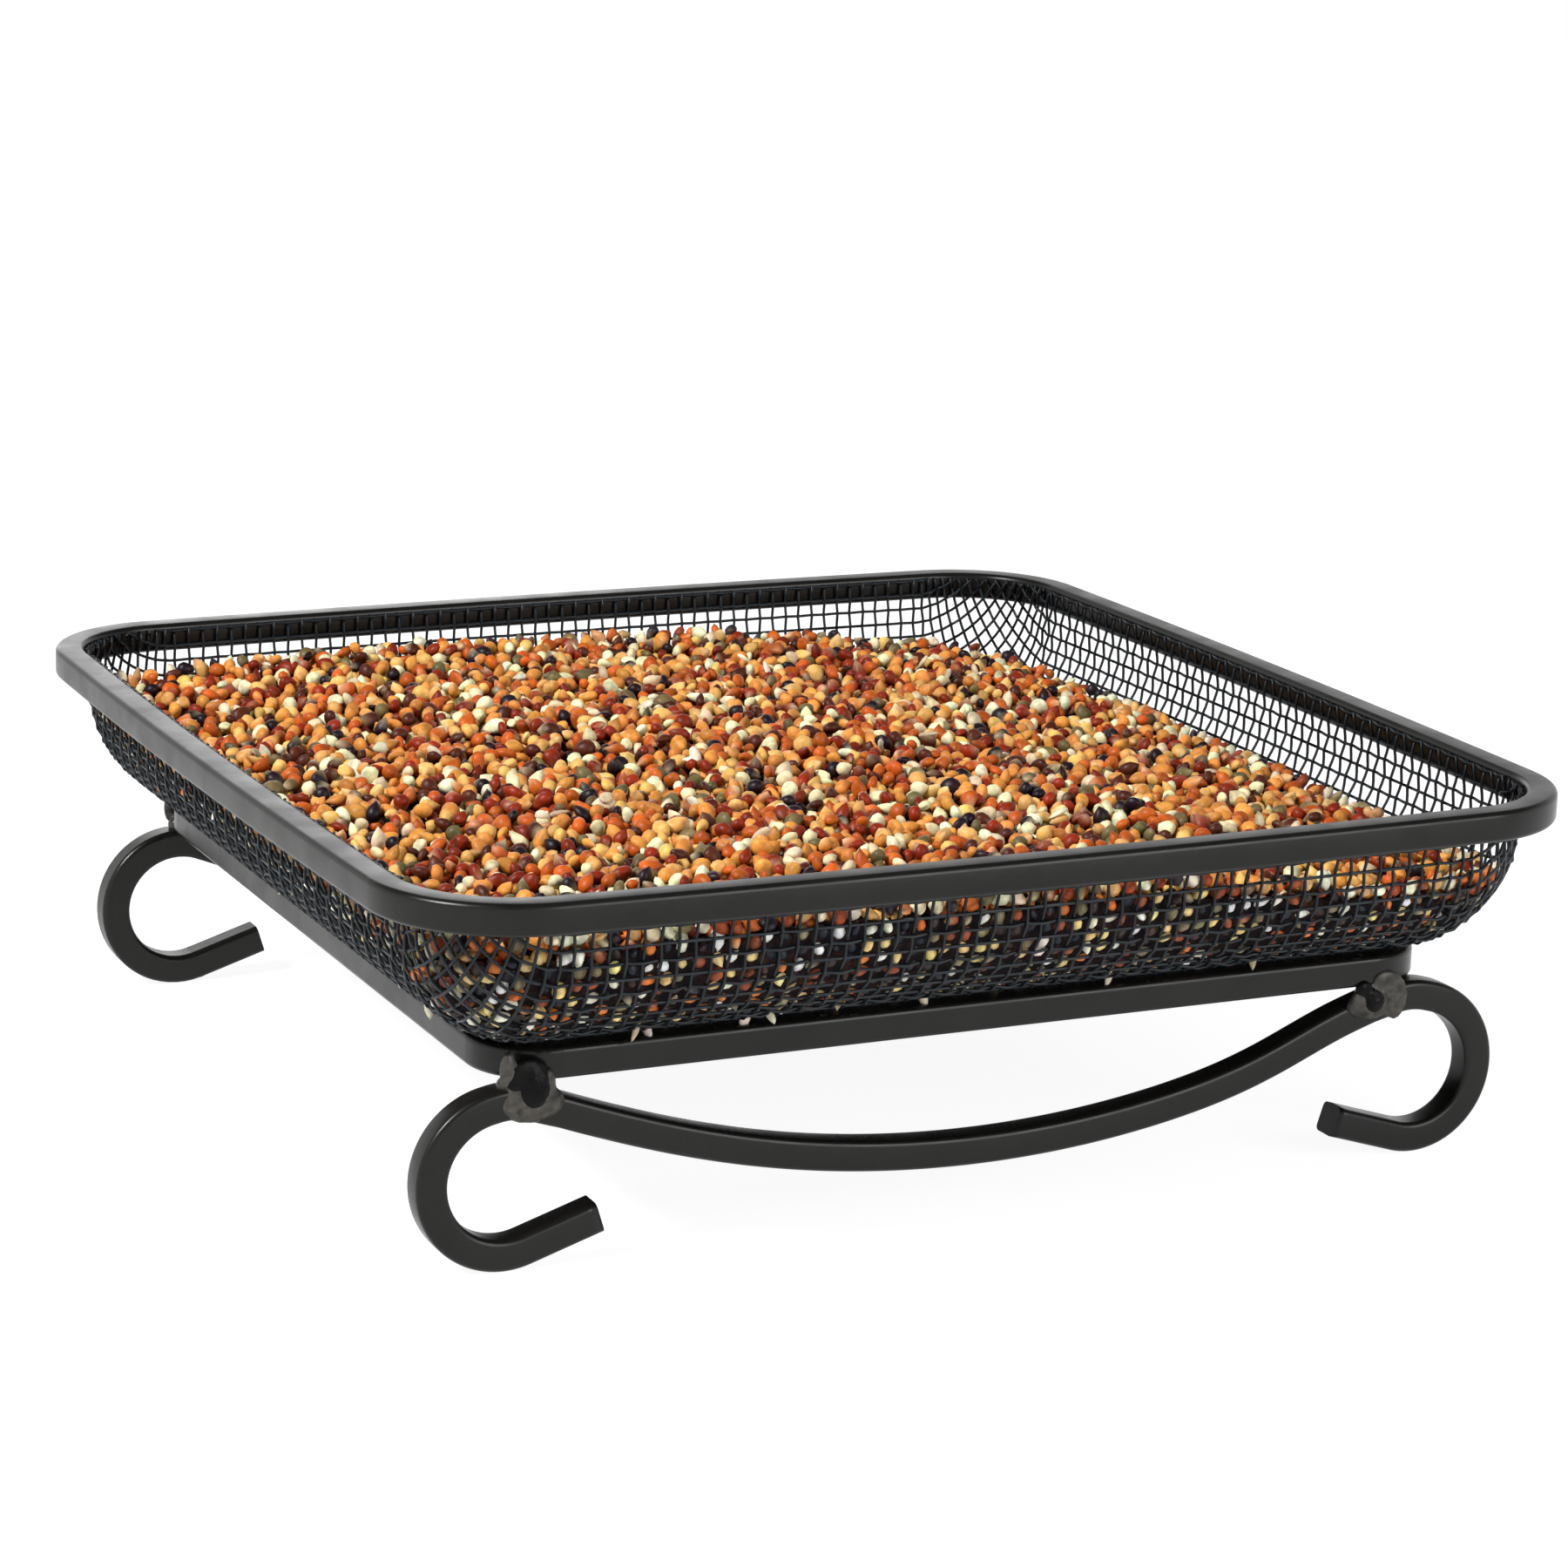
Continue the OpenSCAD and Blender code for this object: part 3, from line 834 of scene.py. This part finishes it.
def make_welds():
    """Four welds, each a rough grey skin over the bars with a black drip on it."""
    lumps = {"weld_skin": ([], []), "weld_drip": ([], [])}
    for side, depth in ((-1, -1), (1, -1), (-1, 1), (1, 1)):
        shape = LEFT_WELD if side < 0 else RIGHT_WELD
        for name, (centre, parts) in shape.items():
            p, faces = weld_lump(np.array(centre), parts)
            verts, quads = lumps[name]
            base = sum(len(v) for v in verts)
            x = side * (SCROLL_X / MM - p[:, 0])
            y = depth * (FRAME_HI.y / MM + p[:, 1])
            z = GAP_Z / MM + p[:, 2]
            verts.append(np.stack([x, y, z], -1) * MM)
            # A lump that is mirrored once has its faces turned over
            turned = side * depth < 0
            quads += [tuple(base + i for i in (f[::-1] if turned else f)) for f in faces]
    for name, mat in (("weld_skin", WELD_SKIN), ("weld_drip", WELD)):
        verts, quads = lumps[name]
        weld = make_object(name, np.concatenate(verts), quads)
        dress(weld, mat)
        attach(weld, "root")
        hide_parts("weld_beads")


# Materials

def new_material(name):
    """A material, with its nodes, its links and its shader."""
    mat = bpy.data.materials.new(name)
    mat.use_nodes = True
    nodes = mat.node_tree.nodes
    return mat, nodes, mat.node_tree.links, nodes["Principled BSDF"]


def noise(nodes, links, scale, detail, rough=0.5):
    """Noise over the object's own coordinates."""
    coord = nodes.new("ShaderNodeTexCoord")
    tex = nodes.new("ShaderNodeTexNoise")
    tex.inputs["Scale"].default_value = scale
    tex.inputs["Detail"].default_value = detail
    tex.inputs["Roughness"].default_value = rough
    links.new(coord.outputs["Object"], tex.inputs["Vector"])
    return tex.outputs["Fac"]


def ramp(nodes, links, source, stops):
    """The colours of a ramp on a value, from a list of places and colours."""
    node = nodes.new("ShaderNodeValToRGB")
    node.color_ramp.elements[0].position = stops[0][0]
    node.color_ramp.elements[0].color = stops[0][1]
    node.color_ramp.elements[1].position = stops[-1][0]
    node.color_ramp.elements[1].color = stops[-1][1]
    for place, colour in stops[1:-1]:
        node.color_ramp.elements.new(place).color = colour
    links.new(source, node.inputs["Fac"])
    return node.outputs["Color"]


def bump(nodes, links, shader, height, strength, distance):
    """Relief on a shader from a height."""
    node = nodes.new("ShaderNodeBump")
    node.inputs["Strength"].default_value = strength
    node.inputs["Distance"].default_value = distance
    links.new(height, node.inputs["Height"])
    links.new(node.outputs["Normal"], shader.inputs["Normal"])


def powder_coat(name, dark, light, gloss, relief, patches=55, sheen=0.25):
    """Black powder coat: faint orange peel, slight unevenness of tone and gloss. Patches is the pace
    of the tone's patches, and sheen the strength of the reflections."""
    mat, nodes, links, shader = new_material(name)
    tone = noise(nodes, links, scale=patches, detail=5, rough=0.6)
    colour = ramp(nodes, links, tone, [(0.3, dark), (0.7, light)])
    links.new(colour, shader.inputs["Base Color"])
    uneven = noise(nodes, links, scale=160, detail=3)
    rough = ramp(nodes, links, uneven, [(0.35, grey(gloss[0])), (0.65, grey(gloss[1]))])
    links.new(rough, shader.inputs["Roughness"])
    peel = noise(nodes, links, scale=1100, detail=1, rough=0.4)
    bump(nodes, links, shader, peel, strength=0.08, distance=relief)
    shader.inputs["Specular IOR Level"].default_value = sheen
    return mat


def seed_material():
    """Dry seed coat: each seed's own colour, darker at random patches, with a waxy sheen."""
    mat, nodes, links, shader = new_material("millet")
    tint = nodes.new("ShaderNodeAttribute")
    tint.attribute_name = "tint"
    patch = noise(nodes, links, scale=620, detail=3, rough=0.6)
    dark = ramp(nodes, links, patch, [(0.3, grey(0.55)), (0.6, grey(1.0))])
    mix = nodes.new("ShaderNodeMix")
    mix.data_type = "RGBA"
    mix.blend_type = "MULTIPLY"
    mix.inputs["Factor"].default_value = 1.0
    links.new(tint.outputs["Color"], mix.inputs["A"])
    links.new(dark, mix.inputs["B"])
    links.new(mix.outputs["Result"], shader.inputs["Base Color"])
    fine = noise(nodes, links, scale=2600, detail=2)
    bump(nodes, links, shader, fine, strength=0.2, distance=0.00008)
    shader.inputs["Roughness"].default_value = 0.42
    shader.inputs["Specular IOR Level"].default_value = 0.22
    shader.inputs["Subsurface Weight"].default_value = 0.08
    shader.inputs["Subsurface Radius"].default_value = (0.0012, 0.0006, 0.0003)
    return mat


def painted_shade_material():
    """Painted shade: dull dark brown, as seeds look that lie too deep in shade to be told apart."""
    mat, nodes, links, shader = new_material("painted_shade_depths")
    tone = noise(nodes, links, scale=420, detail=4, rough=0.7)
    stops = [(0.35, srgb(12, 12, 16)), (0.55, srgb(34, 24, 24)), (0.72, srgb(70, 42, 30))]
    links.new(ramp(nodes, links, tone, stops), shader.inputs["Base Color"])
    bump(nodes, links, shader, tone, strength=0.6, distance=0.001)
    shader.inputs["Roughness"].default_value = 0.8
    shader.inputs["Specular IOR Level"].default_value = 0.1
    return mat


def dress(obj, mat):
    """Gives an object one material."""
    obj.data.materials.clear()
    obj.data.materials.append(mat)


COAT = powder_coat("black_powder_coat", srgb(14, 14, 12), srgb(23, 22, 20),
                   gloss=(0.24, 0.34), relief=0.00006)
WIRE = powder_coat("black_wire_coat", srgb(15, 20, 24), srgb(26, 32, 37),
                   gloss=(0.34, 0.5), relief=0.00002)
WELD = powder_coat("coated_weld", srgb(8, 8, 8), srgb(24, 24, 23),
                   gloss=(0.16, 0.3), relief=0.0004, patches=330, sheen=0.06)
WELD_SKIN = powder_coat("ground_weld", srgb(14, 13, 12), srgb(84, 80, 73),
                        gloss=(0.26, 0.45), relief=0.0003, patches=520)
SEED = seed_material()


# Pieces

def make_rim():
    """The rim as one bar whose sides bow outwards."""
    stations = loop_stations(RIM_HALF - BAR / 2, RIM_CORNER - BAR / 2, BOW, SIDE_POINTS, CORNER_POINTS)
    verts, faces = closed_sweep(stations, rounded_square(BAR, EDGE_R), RIM_TOP - BAR / 2)
    rim = make_object("rim_bar", verts, faces)
    dress(rim, COAT)
    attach(rim, "root")
    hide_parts("top_rim")


def leg_lift(x, z):
    """How far the front leg's middle line rides above the solid's, in millimetres."""
    peak = PEAK_RISE * np.exp(-((x - PEAK_X) / PEAK_WIDTH) ** 2)
    lift = LIFT_RISE * np.clip((LIFT_END_X - np.abs(x)) / LIFT_END_RUN, 0, 1)
    fade = np.clip((z - LIFT_LOW_Z) / LIFT_FADE, 0, 1)
    return (peak + lift) * fade * fade * (3 - 2 * fade)


def leg_line():
    """Middle line of the front leg in millimetres: a tail, a scroll, the sag, and the same again."""
    bar, height = BAR / MM, LEG_HI.z / MM
    x0, z0, r = SCROLL_X / MM, height / 2, (height - bar) / 2
    rise = r - LEG_SAG
    sag_r = (x0 ** 2 + rise ** 2 - r ** 2) / (2 * LEG_SAG)
    sag_z = z0 + rise + sag_r
    join = math.atan2(x0, sag_z - z0)
    tail = math.radians(TAIL_ANGLE)
    # Right half from the middle to the tail's end
    a = np.linspace(0, join, SAG_POINTS, endpoint=False)
    sag = np.stack([sag_r * np.sin(a), sag_z - sag_r * np.cos(a)], -1)
    a = np.linspace(math.pi / 2 + join, -math.pi / 2 - tail, SCROLL_POINTS)
    scroll = np.stack([x0 + r * np.cos(a), z0 + r * np.sin(a)], -1)
    way = np.array([-math.cos(tail), math.sin(tail)])
    half = np.concatenate([sag, scroll, scroll[-1] + TAIL_SHARES[:, None] * TAIL_LEN * way])
    line = np.concatenate([half[:0:-1] * (-1, 1), half])
    line[:, 1] += leg_lift(line[:, 0], line[:, 1])
    return line


def make_front_leg():
    """The front leg as one bent bar with flat ends."""
    line = leg_line()
    section = rounded_square(BAR / MM, EDGE_R / MM)
    t = np.gradient(line, axis=0)
    t /= np.linalg.norm(t, axis=1, keepdims=True)
    n, m = len(line), len(section)
    verts = np.zeros((n, m, 3))
    verts[:, :, 0] = line[:, None, 0] - t[:, None, 1] * section[None, :, 0]
    verts[:, :, 2] = line[:, None, 1] + t[:, None, 0] * section[None, :, 0]
    verts[:, :, 1] = LEG_LO.y / MM + BAR / MM / 2 + section[None, :, 1]
    faces = [tuple(range(m)), tuple((n - 1) * m + k for k in range(m))[::-1]]
    faces += ring_quads(n, m)
    leg = make_object("leg_bar", verts.reshape(-1, 3) * MM, faces)
    leg.data.polygons.foreach_set("use_smooth", [len(f) == 4 for f in faces])
    dress(leg, COAT)
    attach(leg, "root")
    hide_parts("front_leg")


def make_cloth():
    """The woven cloth: wires one way and the other, in two pieces each."""
    count = int((CORE + REACH) / PITCH) + 1
    for name, along_v in (("warp", True), ("weft", False)):
        for half, (first, last) in (("low", (-count, 0)), ("high", (0, count))):
            paths, normals = wire_paths(first, last, along_v)
            verts, tris = tubes(paths, normals, WIRE_R, WIRE_SIDES)
            wires = quick_object("cloth_%s_%s" % (name, half), verts, tris)
            dress(wires, WIRE)
            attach(wires, "root")
            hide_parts("mesh_basket")


def seed_piece(obj, mat):
    """Dresses one piece of the heap and puts it in the solid's place."""
    dress(obj, mat)
    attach(obj, "root")
    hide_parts("bird_seed")


def make_seed():
    """The heap: seeds and husks on top, seeds behind the cloth in painted shade, and a core of painted
    shade.
    """
    heap = drop_seeds()
    depth = heap_top(heap[:, 0], heap[:, 1]) - heap[:, 2]
    shown = heap[depth < SHOWN_DEPTH]
    hidden = heap[depth >= SHOWN_DEPTH]
    shown = shown[np.argsort(shown[:, 0])]
    for n, part in enumerate(np.array_split(shown, HEAP_PARTS)):
        name = "heap_seeds_%d" % n
        seed_piece(seed_object(name, part[:, :3], part[:, 3], PALETTE, HEAP_DETAIL), SEED)
    buried = seed_object("buried_seeds", hidden[:, :3], hidden[:, 3], PALETTE, HIDDEN_DETAIL)
    seed_piece(buried, SEED)
    husks = shown[np_rng.choice(len(shown), HEAP_HUSKS, replace=False)]
    places = husks[:, :3] + np.array([0, 0, HUSK_LIFT])
    loose = seed_object("heap_husks", places, husks[:, 3], HUSK_PALETTE, HUSK_DETAIL, HUSK_SHAPE)
    seed_piece(loose, SEED)
    places, sizes = wall_seeds()
    side = places[:, 2] > FLOOR_Z + SIDE_RISE
    edge = places[:, 2] > heap_top(places[:, 0], places[:, 1]) - EDGE_ROWS
    # Seeds behind the cloth below the edge rows, and those on the floor, take the palette of painted
    # shade
    groups = (("edge_seeds", edge, EDGE_PALETTE, WALL_DETAIL),
              ("side_seeds", side & ~edge, SHADE_PALETTE, WALL_DETAIL),
              ("floor_seeds", ~side, SHADE_PALETTE, HIDDEN_DETAIL))
    for name, mask, palette, detail in groups:
        seed_piece(seed_object(name, places[mask], sizes[mask], palette, detail), SEED)
    seed_piece(poking_husks(), SEED)
    seed_piece(heap_core(), painted_shade_material())


# Camera, floor and light

def make_camera():
    """The camera at the photograph's viewpoint."""
    fwd = Vector((math.sin(CAM_AZIMUTH) * math.cos(CAM_ELEVATION),
                  math.cos(CAM_AZIMUTH) * math.cos(CAM_ELEVATION), -math.sin(CAM_ELEVATION)))
    right = Vector((math.cos(CAM_AZIMUTH), -math.sin(CAM_AZIMUTH), 0))
    up = right.cross(fwd)
    c, s = math.cos(CAM_ROLL), math.sin(CAM_ROLL)
    right, up = c * right + s * up, c * up - s * right
    data = bpy.data.cameras.new("camera")
    data.lens = CAM_LENS
    data.sensor_width = CAM_SENSOR
    data.clip_start, data.clip_end = CAM_CLIP
    cam = bpy.data.objects.new("camera", data)
    cam.matrix_world = Matrix.Translation(CAM_PLACE) @ Matrix((right, up, -fwd)).transposed().to_4x4()
    bpy.context.scene.collection.objects.link(cam)
    bpy.context.scene.camera = cam


def seen_rays(nodes, links):
    """A value that is 1 for rays from the camera and for glossy reflections, and 0 for other rays."""
    path = nodes.new("ShaderNodeLightPath")
    seen = nodes.new("ShaderNodeMath")
    seen.operation = "MAXIMUM"
    links.new(path.outputs["Is Camera Ray"], seen.inputs[0])
    links.new(path.outputs["Is Glossy Ray"], seen.inputs[1])
    return seen.outputs["Value"]


def mix_surface(nodes, links, share, first, second, output):
    """Sends a mix of two shaders to the surface of an output node."""
    mix = nodes.new("ShaderNodeMixShader")
    links.new(share, mix.inputs["Fac"])
    links.new(first, mix.inputs[1])
    links.new(second, mix.inputs[2])
    links.new(mix.outputs["Shader"], nodes[output].inputs["Surface"])


def make_floor():
    """A white floor that glows a little to the camera and in reflections, and keeps the shadow."""
    half = GROUND_HALF
    corners = [(-half, -half, 0), (half, -half, 0), (half, half, 0), (-half, half, 0)]
    floor = make_object("floor", corners, [(0, 1, 2, 3)], smooth=False)
    mat, nodes, links, shader = new_material("white_floor")
    shader.inputs["Base Color"].default_value = grey(GROUND_GREY)
    shader.inputs["Roughness"].default_value = GROUND_ROUGH
    glow = nodes.new("ShaderNodeEmission")
    glow.inputs["Strength"].default_value = GROUND_GLOW
    part = nodes.new("ShaderNodeMath")
    part.operation = "MULTIPLY"
    part.inputs[1].default_value = GROUND_SHARE
    links.new(seen_rays(nodes, links), part.inputs[0])
    mix_surface(nodes, links, part.outputs["Value"], shader.outputs["BSDF"], glow.outputs["Emission"],
                "Material Output")
    dress(floor, mat)


def make_world():
    """Soft light all round. The camera sees plain white, and reflections see a white sweep that ends
    a little above the object, with a dark room over it."""
    world = bpy.data.worlds.new("studio")
    bpy.context.scene.world = world
    world.use_nodes = True
    nodes, links = world.node_tree.nodes, world.node_tree.links
    sky = nodes["Background"]
    sky.inputs["Color"].default_value = SKY_COLOUR
    sky.inputs["Strength"].default_value = SKY_STRENGTH
    white = nodes.new("ShaderNodeBackground")
    path = nodes.new("ShaderNodeLightPath")
    coord = nodes.new("ShaderNodeTexCoord")
    height = nodes.new("ShaderNodeSeparateXYZ")
    links.new(coord.outputs["Generated"], height.inputs["Vector"])
    stops = [(SWEEP_TOP, grey(1.0)), (SWEEP_TOP + SWEEP_FADE, grey(ROOM_GREY))]
    backdrop = nodes.new("ShaderNodeMix")
    backdrop.data_type = "RGBA"
    backdrop.inputs["B"].default_value = grey(1.0)
    links.new(ramp(nodes, links, height.outputs["Z"], stops), backdrop.inputs["A"])
    links.new(path.outputs["Is Camera Ray"], backdrop.inputs["Factor"])
    links.new(backdrop.outputs["Result"], white.inputs["Color"])
    mix_surface(nodes, links, seen_rays(nodes, links), sky.outputs["Background"],
                white.outputs["Background"], "World Output")


def make_lamps():
    """Three soft round lamps that face the object."""
    for name, place, size, power in LAMPS:
        data = bpy.data.lights.new(name, "AREA")
        data.shape = "DISK"
        data.size = size
        data.energy = power
        lamp = bpy.data.objects.new(name, data)
        lamp.location = place
        lamp.visible_camera = False
        aim = LAMP_AIM - Vector(place)
        lamp.rotation_mode = "QUATERNION"
        lamp.rotation_quaternion = aim.to_track_quat("-Z", "Y")
        bpy.context.scene.collection.objects.link(lamp)


make_camera()
make_world()
make_lamps()
make_floor()
make_rim()
make_cloth()
make_seed()
make_welds()
make_front_leg()
for node_name in ("bottom_frame", "rear_leg"):
    dress(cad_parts[node_name], COAT)
bpy.context.scene.view_settings.view_transform = "Standard"
